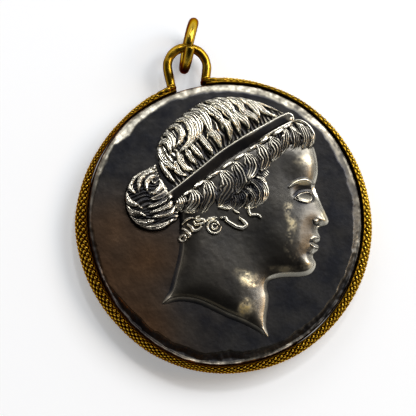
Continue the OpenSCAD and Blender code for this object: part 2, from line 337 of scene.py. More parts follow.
# A height field over part of the portrait, without the cells that lie under the coin's field
def reliefPiece(name, piece, shape):
    made = relief | piece
    left, low, right, high = made["box"]
    cell = made["cell"] * 1
    columns = int((right - left) / cell)
    rows = int((high - low) / cell)
    ob, i, j = newGrid(name, columns, rows)
    u, v = np.meshgrid(np.linspace(left, right, columns + 1), np.linspace(low, high, rows + 1))
    rise, extra, *edge = shape(u, v)
    hollow = 0
    for share, reach in (made["nearHollows"], made["wideHollows"]):
        hollow = hollow + share * (rise - blur(np.maximum(rise, 0), max(1, int(reach / cell))))
    # The wear takes each piece's tone and edge lines, which carry painted light, painted shade and painted
    # highlights, and darkens the hollows as patina
    wearAndPaintedLight = np.clip(made["worn"] + extra + sum(edge) + hollow / made["depth"], 0, 1)
    rise = np.maximum(rise, -made["sunk"])
    x, y = toObject(u[j, i], v[j, i])
    setPoints(ob, x, y, coin["fieldZ"] + rise[j, i])
    setAttribute(ob, "wearAndPaintedLight", wearAndPaintedLight[j, i])
    # Painted golden highlight on the rubbed places, which also makes them rougher
    goldenHighlight = np.clip(made["goldenHighlight"] * extra, 0, 1) + np.zeros(u.shape)
    setAttribute(ob, "cast", goldenHighlight[j, i])
    setAttribute(ob, "goldenHighlight", goldenHighlight[j, i])
    setAttribute(ob, "brown", paintedWarmReflection(u, v)[j, i] * made["brown"])
    buried = rise[j, i] <= -made["sunk"] + 1e-6
    corners = np.empty(len(ob.data.loops), int)
    ob.data.loops.foreach_get("vertex_index", corners)
    setMode("EDIT")
    bpy.ops.mesh.select_mode(type="FACE")
    setMode("OBJECT")
    ob.data.polygons.foreach_set("select", buried[corners].reshape(-1, 4).all(1))
    setMode("EDIT")
    bpy.ops.mesh.delete(type="FACE")
    setMode("OBJECT")
    closeBelow(ob, coin["fieldZ"] - made["sunk"] - made["foot"])
    bpy.ops.object.shade_smooth()
    print(name, len(ob.data.polygons), "faces")
    return ob


# Height of the coin's top: the field, its raw edge, the slope down and the lumpy rim inside the band
def coinTop(u, v, rim):
    angle = np.arctan2(v, u)
    reach = byAngle(coin["edge"], angle)
    reach = reach + 0.2 * softNoise(u, v, 0.6, 3) + 0.25 * softNoise(u, v, 1.9, 4)
    inner = reach - np.hypot(u, v)
    low = smoothStep(0.4 - np.sin(angle))
    sloping = coin["slope"] * (1 + 0.6 * np.clip(1.2 - low, 0, 1))
    drop = coin["ledgeDrop"] * (0.55 + 0.45 * low) * np.clip((0.12 - inner) / sloping, 0, 1)
    out = np.clip((0.1 - inner) / 0.3, 0, 1)
    lumps = out * (0.3 + 0.7 * low) * (0.14 * softNoise(u, v, 0.7, 5) + 0.08 * softNoise(u, v, 0.3, 6))
    wall = coin["rimRise"] * smoothStep((0.55 - rim) / 0.3) * low * out
    wall = wall * (1 + 1.6 * softNoise(u, v, 0.9, 10)) - 0.25 * (1 - rounded(rim, 0.2))
    face = coin["hammered"] * (softNoise(u, v, 3.2, 7) + 0.35 * softNoise(u, v, 1.1, 8)
                               + 0.15 * softNoise(u, v, 0.4, 9))
    # Painted highlight: a light line along the field's raw edge on the portrait's lower side
    worn = 0.16 * low * smoothStep(1.7 - np.abs(inner - 0.1) / 0.09)
    return coin["fieldZ"] - drop + lumps + wall + face * (1 - out), out, worn


# A painted warm reflection: the silver is tinted browner towards the lower left of the portrait
def paintedWarmReflection(u, v):
    side = smoothStep(-0.12 - u / 14 - v / 60 + 0.5 * softNoise(u, v, 5, 61))
    return side * smoothStep((9 - v + 4 * softNoise(u, v, 5, 62)) / 15)


def makeCoin():
    n = coin["net"]
    ob, i, j = newGrid("coin_field", n, n)
    a = 2 * i / n - 1
    b = 2 * j / n - 1
    x = a * np.sqrt(1 - b * b / 2)
    y = b * np.sqrt(1 - a * a / 2)
    reach = ovalReach(0, np.arctan2(y, x))
    x = x * reach
    y = y * reach
    u, v = toPortrait(x, y)
    rim = reach - np.hypot(x, y)
    z, out, worn = coinTop(u, v, rim)
    setPoints(ob, x, y, z)
    # Painted light and shade: the ledge's rubbed silver is painted lighter on the upper side and darker
    # below; the field is painted lighter and browner at the lower left, a painted warm reflection
    slope = byAngle(coin["rubbedAndPaintedLight"], np.arctan2(v, u))
    edge = byAngle(coin["rubbedAndPaintedLight"], np.arctan2(v, u), 2)
    bright = slope + (edge - slope) * smoothStep((0.6 - rim) / 0.15)
    brown = paintedWarmReflection(u, v)
    patchy = 1 + 0.9 * softNoise(u, v, 0.9, 5) + 0.6 * softNoise(u, v, 0.3, 6)
    wearAndPaintedLight = out * bright * patchy - 0.4 * out * smoothStep((0.16 - rim) / 0.08)
    setAttribute(ob, "wearAndPaintedLight", np.clip(wearAndPaintedLight + worn + 0.19 * brown * (1 - out), 0, 1))
    setAttribute(ob, "cast", out)
    setAttribute(ob, "brown", np.maximum(brown * (1 - 0.8 * out), smoothStep((0.2 - rim) / 0.1)))
    closeBelow(ob, 0)
    bpy.ops.object.shade_smooth()
    bpy.ops.object.shade_smooth_by_angle(angle=math.radians(50))
    return ob


head = {
    "box": (-9.6, -16.2, 14.8, 13.2),  # left, low, right and high, in the portrait
    "cell": 0.08,
    "worn": 0.1,
    "depth": 0.5,
    "brown": 0.3,
    "goldenHighlight": 1.2,
    "height": 1.0,  # cheek and neck above the field
    "wall": 0.58,  # width of the wall up from the field
    "footShift": 0.4,  # how far the neck's foot is moved to the right
    "outline": [  # the builder's own plain profile on textbook proportions
        [8, 12.5], [10.5, 12.2], [12, 11], [12.6, 9], [12.7, 7.4], [12.5, 6.2], [12.25, 5.3],
        [12.5, 4.5], [12.95, 3.4], [13.5, 2.1], [14, 1], [14.1, 0.5], [13.8, 0.05], [13.1, -0.2],
        [12.65, -0.5], [12.65, -0.9], [12.85, -1.4], [12.95, -1.85], [12.75, -2.25], [12.4, -2.5],
        [12.65, -2.75], [12.75, -3.15], [12.5, -3.55], [12, -4], [12, -4.5], [12.3, -5.1],
        [12.25, -5.8], [11.8, -6.5], [11, -6.95], [9.8, -7.15], [8.4, -7.2], [6.9, -7.4],
        [5.9, -7.9], [5.6, -8.8], [5.7, -9.8], [5.5, -11.2], [5.25, -12.6], [5.2, -14],
        [5.4, -15.4], [4, -14.7], [2, -13.7], [0, -12.95], [-2, -12], [-4, -11.15], [-5.5, -10.85],
        [-7, -10.85], [-8.8, -11.25], [-8.5, -10.4], [-7.7, -9.2], [-7.1, -7.5], [-6.6, -5.5],
        [-6.3, -4], [-6.2, -2.8], [-6.2, 0], [-6, 3], [-2, 9], [3, 11.8]],
    "pads": [  # soft swellings: [right, up, half width, half height, rise]
        [8.0, 0.6, 6.5, 8.5, 0.42],
        [8.4, -2.6, 4.2, 4.2, 0.22],
        [9.6, 0.6, 2.6, 2.4, 0.12],
        [10.6, 8.2, 3.4, 3.6, 0.22],
        [11.0, -5.3, 1.5, 1.4, 0.2],
        [13.0, 0.65, 1.0, 0.7, 0.14],
        [12.3, 0.25, 0.62, 0.5, 0.2],
        [-1.5, -6.5, 6, 6.5, 0.2]],
    "rubbedAndPaintedLight": [  # where the dark film is rubbed through, painted with a golden highlight: [right, up, half width, half height, share]
        [3.1, -7.9, 1.4, 1.2, 0.55],
        [2.2, -6.9, 1.4, 0.8, 0.4],
        [2.7, -11.6, 1.3, 1.5, 0.8],
        [8, -6.2, 2.4, 0.6, 0.4],
        [10.9, -5.7, 1.1, 0.7, 0.6],
        [10.2, 5.6, 1.6, 0.4, 0.45],
        [10.6, 8.6, 1.6, 1, 0.3],
        [13.4, 1.2, 0.5, 1.2, 0.4]],
    "paintedCheekHighlight": [8.3, 2.2, 8.5, 0.9, 8.9, -0.5, 8.5, -2, 8.3, -3.3, 8.9, -4.4, 9.9, -5.3],
}


def headRise(u, v):
    outline = np.array(head["outline"], float)
    outline[:, 0] += head["footShift"] * smoothStep((-7 - outline[:, 1]) / 5)
    d = insideDepth(u, v, outline)
    wall = np.clip(d / head["wall"], 0, 1)
    cells = max(1, int(0.5 / (u[0, 1] - u[0, 0])))
    depth = blur(blur(np.maximum(d, -0.5), cells), cells)
    swell = np.clip((depth - 0.5) / 2.6, 0, 1)
    rise = head["height"] * (0.36 * wall + 0.42 * swell * (2 - swell) + 0.24 * rounded(depth, 4.5) * wall)
    inner = smoothStep(d / 1.2)
    for right, up, wide, high, lift in head["pads"]:
        far = np.hypot((u - right) / wide, (v - up) / high)
        rise = rise + lift * inner * smoothStep(1 - far)
    # Eye socket, ball and lids
    far = np.hypot((u - 11) / 2, (v - 4.3) / 1.3)
    rise = rise - 0.42 * smoothStep(1.25 - far) * smoothStep((d + 0.2) / 0.8)
    far = np.hypot((u - 10.7) / 1.2, (v - 3.55) / 0.68)
    rise = rise + 0.34 * np.sqrt(np.clip(1 - far ** 2, 0, 1))
    for width, lift, *points in headLines:
        near, _, place = nearLine(u, v, smoothLine(points, 5))
        half = width / 2 * (0.35 + 0.65 * np.sin(np.pi * np.clip(place, 0.03, 0.97)) ** 0.7)
        rise = rise + lift * smoothStep(1 - near / half) * np.clip((d + 0.1) * 4, 0, 1)
    # The neck's long muscle
    aside = (u - 2.4 - 0.34 * (v + 8)) / 1.1
    rise = rise + 0.12 * np.exp(-aside ** 2) * smoothStep((-6.5 - v) / 2) * inner
    rise = rise + 0.012 * softNoise(u, v, 0.5, 11) + 0.02 * softNoise(u, v, 1.6, 12)
    # Painted highlight: a light line along the wall of the profile's right side and of the neck's underside,
    # the walls that face the lamps
    facingLight = smoothStep((u - 4.6) / 0.6) + 0.45 * smoothStep((-9.5 - v) / 1)
    facingLight = np.clip(facingLight, 0, 1) * (1 - 0.7 * smoothStep(-7 - v))
    edge = 0.75 * facingLight * smoothStep(1.6 - np.abs(d - 0.28) / 0.24)
    # Painted golden highlights: the patches where the film is rubbed through, a line down the cheek and a
    # line on the neck's back edge are painted lighter
    polish = np.zeros(u.shape)
    for right, up, wide, high, share in head["rubbedAndPaintedLight"]:
        far = np.hypot((u - right) / wide, (v - up) / high) + 0.5 * softNoise(u, v, 0.7, 16)
        grain = 0.75 + 0.7 * softNoise(u, v, 0.22, 13) + 1.2 * softNoise(u, v, 0.9, 14)
        polish = polish + share * smoothStep(1.3 - far) ** 1.5 * np.clip(grain, 0, 1.2)
    near = nearLine(u, v, smoothLine(head["paintedCheekHighlight"], 5))[0]
    broken = 0.35 + 1.4 * softNoise(u, v, 1.3, 15) + 0.8 * softNoise(u, v, 0.22, 13)
    polish = polish + 0.55 * smoothStep(1.25 - near / 0.8) ** 1.5 * np.clip(broken, 0, 1)
    backEdge = smoothStep(1.5 - np.abs(d - 0.9) / 0.14)
    polish = polish + 0.3 * smoothStep(-9.5 - v) * smoothStep(3 - u) * backEdge
    return np.where(d > 0, rise, d * 6), polish, edge


# Lids, brow, nostril, lips and their dividing line
headLines = [
    (0.34, 0.26, 9.2, 3.3, 9.9, 3.95, 10.7, 4.3, 11.4, 4.35, 11.8, 4.15),
    (0.28, 0.16, 9.3, 3.3, 10, 3.0, 10.8, 2.85, 11.5, 2.95),
    (0.22, 0.1, 11.55, 4.1, 11.7, 3.6, 11.5, 3.1),
    (0.24, -0.12, 9, 3.75, 9.8, 4.45, 10.7, 4.8, 11.6, 4.85),
    (0.75, 0.2, 8.5, 4.9, 9.6, 5.7, 10.8, 6, 12, 5.6),
    (0.22, -0.2, 12.85, -0.05, 12.4, -0.15, 11.95, 0.05, 11.75, 0.5),
    (0.26, -0.22, 11.35, -2.45, 11.8, -2.35, 12.2, -2.5, 12.6, -2.5),
    (0.55, 0.12, 11.5, -2.1, 12.1, -1.75, 12.8, -1.75),
    (0.6, 0.14, 11.5, -2.8, 12.1, -3.1, 12.7, -3.1),
    (0.5, -0.08, 11.0, -4.0, 11.5, -4.05, 12.1, -4.1),
]

crown = {
    "box": (-9.9, 3, 9.4, 18),
    "cell": 0.055,
    "height": 0.95,
    "outline": [
        [-9.3, 8.4], [-9.3, 9.9], [-9, 11.1], [-8.2, 12.5], [-6, 14.7], [-3.8, 16.3], [-2.2, 17],
        [-0.5, 17.35], [1, 17.4], [2.5, 17.3], [4, 17], [5.5, 16.5], [7, 15.8], [8.4, 15],
        [8, 14], [5, 12.4], [1, 9.6], [-3, 6.4], [-6.6, 3.6], [-7.6, 5.2], [-8.7, 7]],
    "locks": [
        (1, 0.34, -9.1, 10.2, -8.5, 10.9, -7.8, 10.4, -7.4, 9.2),
        (1.1, 0.4, -8.7, 11.8, -7.9, 11.9, -7.3, 11, -7, 9.6),
        (1.1, 0.42, -7.9, 12.8, -6.7, 13, -6, 12.2, -6.1, 11, -6.8, 10),
        (1.3, 0.46, -7, 13.7, -5.6, 14, -4.7, 12.7, -4.7, 11.3, -5.5, 10.1, -6.6, 9.2),
        (1.5, 0.46, -5.9, 14.7, -4.6, 14.5, -3.8, 13.3, -3.7, 12, -4.2, 10.9),
        (1.4, 0.46, -4.9, 15.4, -3.5, 15, -2.6, 13.8, -2.2, 12.6, -2.5, 11.4),
        (1.1, 0.4, -2.6, 12.9, -1.6, 12.1, -0.9, 11.2, -0.6, 10.1),
        (1.3, 0.46, -4, 16.1, -2.6, 15.7, -1.4, 14.8, -0.6, 13.9, -0.4, 12.8),
        (1.1, 0.42, -1.5, 14.3, -0.2, 13.7, 0.5, 12.7, 0.7, 11.3),
        (1.2, 0.44, -3, 16.7, -1.6, 16.4, -0.3, 15.5, 0.5, 14.6, 0.6, 13.5),
        (1.1, 0.42, -0.4, 15.1, 0.8, 14.4, 1.6, 13.5, 2, 12.1),
        (1.1, 0.42, -1.8, 17.1, -0.2, 16.6, 0.8, 15.7, 1.2, 14.6),
        (1.1, 0.42, 0.7, 15.4, 1.7, 14.6, 2.7, 14, 3.3, 12.9),
        (1.1, 0.42, 0, 17.3, 1.4, 16.8, 2.2, 15.8, 2.5, 14.7),
        (1, 0.4, 2, 15.8, 3, 15, 3.9, 14.6, 4.6, 13.7),
        (1.1, 0.4, 1.5, 17.4, 3, 16.8, 4.1, 15.7, 4.7, 14.4),
        (0.9, 0.38, 2.7, 17.2, 4.2, 16.4, 5.4, 15.4, 6.9, 14.8),
        (0.75, 0.34, 4, 17, 5.4, 16.6, 6.8, 16, 8.2, 15.2),
        (1, 0.34, -9.1, 9.6, -8.6, 8.5, -7.7, 7.6, -6.5, 7),
        (0.9, 0.34, -8.9, 8.3, -8.4, 7.1, -7.7, 6.2, -6.8, 5.3),
        (0.9, 0.3, -6.9, 8.2, -6.6, 7.2, -6, 6.5, -5.2, 6.3),
        (1, 0.34, -6.6, 9.4, -6, 8, -5.3, 7.3, -4.3, 7),
        (0.9, 0.34, -5.5, 10, -4.8, 8.8, -3.8, 7.8),
        (0.9, 0.38, -5.1, 10.9, -4.2, 9.8, -2.9, 8.6),
        (1, 0.38, -3.7, 12, -2.9, 10.9, -2.3, 10.2, -1.7, 9.2)],
    "crests": [  # thin bright strands over the locks
        (0.2, 0.5, -8.3, 12.2, -7.9, 11.5, -7.6, 10.7, -7.3, 10),
        (0.2, 0.52, -6.8, 13.2, -6.1, 12.9, -6, 12.3),
        (0.22, 0.56, -5.9, 14.2, -5.2, 13.6, -4.7, 12.4, -4.7, 11.4, -5.5, 10.2, -6.3, 9.6),
        (0.22, 0.56, -3.9, 15.3, -3.2, 14.6, -2.6, 13.6, -2.2, 12.8, -2.2, 12, -1.6, 11.6, -0.9, 11,
         -0.6, 10.4),
        (0.22, 0.56, -3, 16, -2, 15.2, -1.3, 14.5, -0.9, 14, 0.2, 13.2, 0.6, 12.4, 0.7, 11.6),
        (0.22, 0.56, -2.3, 16.6, -1.2, 16, -0.5, 15.2, 0.3, 14.4, 1.2, 13.8, 1.7, 13, 1.9, 12.4),
        (0.22, 0.54, -1, 17, 0.2, 16.5, 0.7, 15.6, 1, 14.9, 1.6, 14.2, 2.3, 13.8, 3.2, 13.2),
        (0.2, 0.52, 1, 16.9, 1.8, 16, 2.1, 15.2, 2.6, 14.8, 3.6, 14.4, 4.3, 14),
        (0.2, 0.48, 2.7, 16.9, 4, 16.3, 4.9, 15.6, 6, 15.2, 7.1, 14.9),
        (0.2, 0.44, 3.5, 17, 5, 16.5, 6.3, 16.2, 7.5, 15.7, 8.2, 15.3),
        (0.18, 0.46, -4.9, 10.2, -4, 9.6, -3, 8.7),
        (0.18, 0.42, -8.5, 9.3, -8, 8.3, -7.3, 7.7, -6.6, 7),
        (0.2, 0.44, -8.7, 7.8, -8.2, 7, -7.7, 6.3, -6.9, 5.4)],
}


# How far a point lies above the hair band's line, and 0 under it
def aboveBand(u, v):
    return np.maximum(nearLine(u, v, smoothLine(headband["path"], 4))[1], 0)


def crownRise(u, v):
    d = insideDepth(u, v, crown["outline"])
    shade = smoothStep((aboveBand(u, v) - 0.9) / 3.6)
    mass = crown["height"] * (0.3 + 0.7 * rounded(d, 4)) * (0.72 + 0.4 * shade)
    strands = np.abs(np.sin(5.5 * (0.83 * u + 0.55 * v) + 3.5 * softNoise(u, v, 1.5, 22)))
    rise = mass - 0.5 + 0.15 * strands + 0.06 * softNoise(u, v, 0.4, 21)
    rise = addLocks(u, v, rise, mass - 0.08, crown["locks"], 3, 0.18, 0.7, 0.84)
    rise = addLocks(u, v, rise, mass - 0.08, crown["crests"], 1, 0)
    # Painted light and shade: the crown is painted darker near the hair band and lighter further up
    return np.where(d > 0, rise * rounded(d, 0.3), d * 6), 0.8 * shade - 0.4


roll = {
    "box": (-7.8, 0.2, 13, 14.8),
    "cell": 0.062,
    "height": 1.0,
    "outline": [
        [-6.8, 3.4], [-3, 6.4], [1, 9.6], [5, 12.4], [8.2, 14.1], [9.1, 14.4], [9.9, 14.6], [10.9, 14.3],
        [11.8, 13.5], [12.4, 12.4], [12.3, 11.4], [11.7, 10.4], [10.7, 9.8], [9.5, 9.5], [7.8, 8.7],
        [6.6, 7.6], [5.9, 6.4], [5.5, 5.9], [5.9, 4.9], [6, 3.8], [5.2, 2.5], [3.9, 1.8], [2.3, 1.4],
        [0.6, 1.3], [-0.6, 1.3], [-2.2, 1], [-4.4, 0.8], [-6.4, 1.3], [-7, 2.2]],
    "locks": [
        (1.4, 0.4, -6.6, 3.7, -6.1, 3, -6.1, 2.2, -6.9, 1.2),
        (1.9, 0.5, -4.8, 4.3, -4.2, 3.4, -4.2, 2.4, -5.4, 1),
        (2.1, 0.54, -3, 5.6, -2.3, 4.6, -2.1, 3.2, -3.3, 1.2),
        (2.3, 0.58, -0.8, 7, 0.1, 5.9, 0.3, 4.4, -0.9, 2.2),
        (2, 0.56, 0.8, 8.3, 1.6, 7.2, 2.1, 5.8, 1.5, 4),
        (1.8, 0.54, 2.5, 9.5, 3.2, 8.5, 3.6, 7.4, 3, 5.9),
        (1.8, 0.52, 4.2, 10.7, 4.9, 9.8, 5.3, 8.6, 4.8, 7.2),
        (1.8, 0.5, 5.8, 11.8, 6.6, 10.9, 6.9, 9.8, 6.3, 8.5),
        (1.4, 0.44, 7.9, 13.1, 8.2, 12, 8, 10.8, 7.4, 9.4),
        (1.3, 0.44, 8.7, 13.4, 9.4, 12.2, 9.6, 11, 9, 9.8),
        (1.3, 0.44, 9.6, 13.9, 10.6, 12.8, 11, 11.6, 10.4, 10.2),
        (1, 0.4, 10.9, 13.6, 11.6, 12.6, 11.9, 11.4, 11.4, 10.3),
        (1, 0.5, -1.6, 3.6, -0.9, 2.8, -0.1, 2.2, 0.9, 1.6),
        (1.2, 0.5, 0.4, 4, 1, 3.1, 1, 2.3, 0.4, 1.5),
        (1.3, 0.5, 1.7, 4.6, 2.3, 3.6, 2.2, 2.6, 1.5, 1.7),
        (1.3, 0.46, 4.4, 7.4, 5.4, 6.8, 5.9, 5.9, 5.6, 5),
        (1.3, 0.5, 3.9, 6.2, 5, 5.6, 5.6, 4.6, 5.6, 3.4, 4.9, 2.4),
        (1.4, 0.48, 2.9, 5.9, 4, 5.2, 4.7, 4.2, 4.7, 3.1, 4, 2),
        (1.2, 0.46, 2.6, 4.6, 3.5, 3.9, 3.8, 3, 3.1, 1.7)],
    "crests": [
        (0.26, 0.58, -0.8, 7, 0.2, 6.3, 0.8, 5.4, 1, 4.2),
        (0.26, 0.6, -2.9, 5.6, -2, 4.9, -1.4, 3.7, -0.9, 2.6, 0.3, 1.7),
        (0.24, 0.54, -4.7, 4.3, -3.9, 3.5, -3.2, 2.3),
        (0.26, 0.58, 0.9, 8.3, 1.8, 7.5, 2.5, 6.4, 2.9, 5),
        (0.26, 0.54, 2.6, 9.5, 3.4, 8.6, 3.9, 7.4, 4.4, 6.6, 5.3, 6.4),
        (0.24, 0.54, 4.3, 10.7, 5, 9.9, 5.6, 8.9, 5.9, 8.1),
        (0.24, 0.52, 5.9, 11.8, 6.6, 11.1, 7, 10.2, 7.1, 9.2),
        (0.3, 0.56, 9, 13.9, 9.1, 12.9, 9.9, 12.4, 10.4, 11.9, 10.7, 11.1),
        (0.28, 0.54, 8, 13.2, 8, 12.4, 7.6, 11.8, 7.2, 11.3),
        (0.28, 0.54, 8.3, 12.4, 8.8, 11.7, 8.9, 10.8),
        (0.26, 0.52, 8.6, 11.9, 8.1, 11, 7.4, 10.5),
        (0.26, 0.52, 10.4, 12.4, 10.7, 11.7, 10.3, 11),
        (0.22, 0.46, 11.3, 12.5, 11.6, 11.6, 11.5, 10.6),
        (0.5, 0.5, 9, 14.1, 9.8, 14.3, 10.8, 14, 11.6, 13.2, 12.05, 12.2, 11.9, 11.1),
        (0.42, 0.4, 6.7, 8.1, 7.6, 8.9, 8.3, 9.3, 9.3, 9.7),
        (0.26, 0.5, 6.3, 11, 6.1, 10.2, 5.7, 9.4),
        (0.28, 0.5, 6.6, 10.8, 7, 10.2, 7.7, 9.4),
        (0.26, 0.48, 3.2, 5.5, 4.1, 4.8, 4.7, 4, 4.8, 3),
        (0.26, 0.54, 1.9, 3.8, 2.7, 3.8, 3.2, 3.7, 3.6, 3.1),
        (0.24, 0.52, 1.6, 2.9, 2.2, 3.1, 2.7, 3),
        (0.28, 0.5, 2.3, 1.6, 2.9, 2.2, 3.5, 2.9),
        (0.2, 0.5, -2, 1.2, -1.4, 1.8, -1, 2.5),
        (0.2, 0.5, -3.6, 1.3, -3, 2, -2.6, 2.9),
        (0.2, 0.46, -5.5, 1.1, -5, 1.8, -4.8, 2.6)],
    "tips": [  # the small bright tip left of each lock's top
        (0.5, 0.45, -6.6, 3.8, -7.1, 3.4, -7.5, 2.9),
        (0.55, 0.5, -4.7, 4.3, -5.2, 3.9, -5.9, 3.4),
        (0.65, 0.55, -2.9, 5.6, -3.6, 5.1, -4.5, 4.5),
        (0.7, 0.58, -0.8, 7, -1.8, 6.3, -2.8, 5.7),
        (0.65, 0.56, 0.9, 8.3, 0.2, 7.8, -0.7, 7.3),
        (0.6, 0.54, 2.6, 9.5, 1.9, 9, 1, 8.5),
        (0.6, 0.52, 4.3, 10.7, 3.6, 10.2, 2.8, 9.7),
        (0.6, 0.5, 5.9, 11.8, 5.2, 11.3, 4.4, 10.8),
        (0.65, 0.5, 7.9, 13.1, 7.2, 12.6, 6.4, 12.1),
        (0.6, 0.48, 9, 13.9, 8.3, 13.4, 7.6, 12.9)],
}


def rollRise(u, v):
    d = insideDepth(u, v, roll["outline"])
    far = nearLine(u, v, smoothLine(headband["path"], 4))[0]
    mass = roll["height"] * (0.45 + 0.55 * rounded(d, 3)) * (1.1 - 0.12 * np.clip((far - 1.2) / 3, 0, 1))
    # The loose locks in front of the ear lie over the cheek
    mass = mass + 0.4 * smoothStep((u - 1.8) / 1.5) * smoothStep((7.6 - v) / 1.8)
    strands = np.abs(np.sin(6.5 * (u + 0.3 * v) + 3 * softNoise(u, v, 1.4, 32)))
    rise = mass - 0.34 + 0.17 * strands + 0.05 * softNoise(u, v, 0.3, 31)
    rise = addLocks(u, v, rise, mass - 0.1, roll["locks"], 5, 0.2, 0.3, 1.12, 0.5)
    rise = addLocks(u, v, rise, mass - 0.1, roll["tips"], 2, 0.06)
    rise = addLocks(u, v, rise, mass - 0.1, roll["crests"], 1, 0)
    # Painted shade: the roll is painted darker than the crown, and darker still further from the hair band
    shade = smoothStep((far - 1) / 4)
    return np.where(d > 0, rise * rounded(d, 0.3), d * 6), -0.44 - 0.28 * shade


bun = {
    "box": (-14.2, -2, -5.6, 8.4),
    "cell": 0.062,
    "height": 0.95,
    "outline": [
        [-9.4, 7.8], [-10.5, 7.2], [-11.5, 6.75], [-12.5, 6], [-13, 5.2], [-13.4, 4.3], [-13.6, 3.2],
        [-13.5, 2], [-13.3, 1.2], [-12.8, 0.3], [-12, -0.6], [-11, -1.1], [-10, -1.3], [-9, -1.3],
        [-8, -1], [-7.2, -0.3], [-6.4, 0.3], [-6.2, 1.2], [-6.6, 2.4], [-7.1, 3.8], [-7.8, 4.6],
        [-8.4, 5.6], [-9, 6.8]],
    "locks": [
        (1, 0.4, -9.4, 7.3, -11.2, 6.9, -12.7, 5.6, -12.9, 4.4, -12.2, 3.6),
        (1, 0.42, -9.4, 6.8, -10.8, 6.2, -11.6, 5.2, -11.8, 3.9),
        (0.8, 0.38, -9.3, 6.2, -10.3, 5.8, -10.8, 4.9, -10.6, 3.9),
        (0.8, 0.4, -9, 5.8, -8.7, 4.8, -9.4, 3.9, -10.4, 3.6),
        (0.8, 0.38, -8.3, 5, -8.2, 3.9, -9, 3.2, -10.3, 2.8),
        (0.8, 0.38, -7.7, 4, -8, 3, -9.2, 2.2, -10.6, 1.7),
        (0.8, 0.38, -7.2, 3.2, -7.6, 2.2, -8.8, 1.5, -10.3, 1),
        (0.8, 0.36, -6.8, 2.2, -7.4, 1.2, -8.8, 0.7, -10, 0.4),
        (0.8, 0.36, -13.4, 3.9, -13.3, 2.9, -12.7, 2.2, -11.7, 2),
        (0.8, 0.36, -13.4, 2.1, -13, 1.2, -12.1, 0.9, -11, 0.8),
        (0.8, 0.36, -13, 0.7, -12.2, -0.2, -10.9, -0.3, -9.6, 0),
        (0.8, 0.36, -12, -0.6, -10.8, -1, -9.3, -0.9, -8, -0.4, -7, 0.3)],
    "crests": [
        (0.3, 0.52, -12, 3.8, -12.6, 4.2, -12.8, 5.2, -12.2, 6.2, -11.2, 6.7),
        (0.3, 0.54, -11.7, 3.7, -11.6, 4.8, -11.2, 5.6, -10.4, 6.5, -9.5, 6.9),
        (0.28, 0.5, -10, 3.7, -9.2, 4.2, -8.8, 5.2),
        (0.26, 0.5, -10.1, 2.9, -9, 3.5, -8.3, 4.2),
        (0.28, 0.5, -10.5, 1.7, -9.3, 2.1, -8.3, 2.8),
        (0.24, 0.46, -10.2, 1.1, -9, 1.6),
        (0.24, 0.46, -9.9, 0.5, -9, 0.8),
        (0.26, 0.46, -13.4, 3.9, -13.2, 3.1, -12.9, 2.6, -12.5, 2.4),
        (0.26, 0.46, -13.4, 1.5, -12.9, 1.1, -12.2, 0.5),
        (0.24, 0.44, -12.7, 0, -11.7, -0.3),
        (0.26, 0.44, -11.2, -1, -9.6, -0.9),
        (0.24, 0.48, -11.9, 2, -11.2, 1.5),
        (0.24, 0.48, -11.6, 0.9, -10.7, 0.5),
        (0.26, 0.5, -7.2, 3.8, -7.6, 3, -8, 2.2),
        (0.26, 0.5, -8, 1.4, -7.1, 2.1),
        (0.24, 0.48, -7.6, 0.8, -7, 1.4),
        (0.24, 0.52, -9.4, 5.7, -9.9, 5.8, -10, 5.3, -9.6, 5.1, -9.3, 5.4)],
}


def bunRise(u, v):
    d = insideDepth(u, v, bun["outline"])
    mass = bun["height"] * (0.35 + 0.65 * rounded(d, 3.2))
    strands = np.abs(np.sin(6.5 * (v - 0.35 * u) + 6 * softNoise(u, v, 1.6, 42)))
    rise = mass - 0.24 + 0.16 * strands + 0.05 * softNoise(u, v, 0.4, 41)
    rise = addLocks(u, v, rise, mass - 0.06, bun["locks"], 5, 0.14)
    rise = addLocks(u, v, rise, mass - 0.06, bun["crests"], 1, 0)
    # Painted shade: the bun is painted darker than the crown, darkest at its lower left, away from the lamps
    return np.where(d > 0, rise * rounded(d, 0.3), d * 6), 0.16 * smoothStep((v + u / 2 + 4) / 5) - 0.72


headband = {
    "box": (-8.4, 2, 9.8, 15.8),
    "cell": 0.062,
    "path": [
        [-7.1, 3.3], [-5.6, 4.5], [-4.4, 5.5], [-2.4, 7.2], [-0.4, 8.9], [1.6, 10.3], [3.6, 11.6],
        [5.6, 12.8], [7.4, 13.85], [8.5, 14.4]],
    "width": 1.9,
    "height": 1.5,
    "fall": 0.7,  # slope down to the face side, in mm
}


def headbandRise(u, v):
    d, side, place = nearLine(u, v, smoothLine(headband["path"], 6))
    half = headband["width"] / 2
    inner = half - d
    q = np.clip(side / half, -1, 1)
    fall = headband["fall"] * (1 - 0.8 * smoothStep((place - 0.6) / 0.3))
    top = headband["height"] - fall * smoothStep((0.8 - q) / 2.2) - 0.35 * (headband["fall"] - fall)
    rise = top * rounded(inner, 0.28)
    groove = 0.09 * np.exp(-((q + 0.55) / 0.12) ** 2) * smoothStep((place - 0.68) * 5)
    streak = smoothStep((place - 0.5) / 0.3) * np.clip(0.4 + 2 * softNoise(place * 3, q, 0.35, 41), 0, 1)
    worn = 1.5 * smoothStep((q - 0.7) / 0.2) + 0.4 * smoothStep((place - 0.6) / 0.35) + 1.1 * streak
    return np.where(inner > 0, rise - groove, inner * 6), worn - 1.7


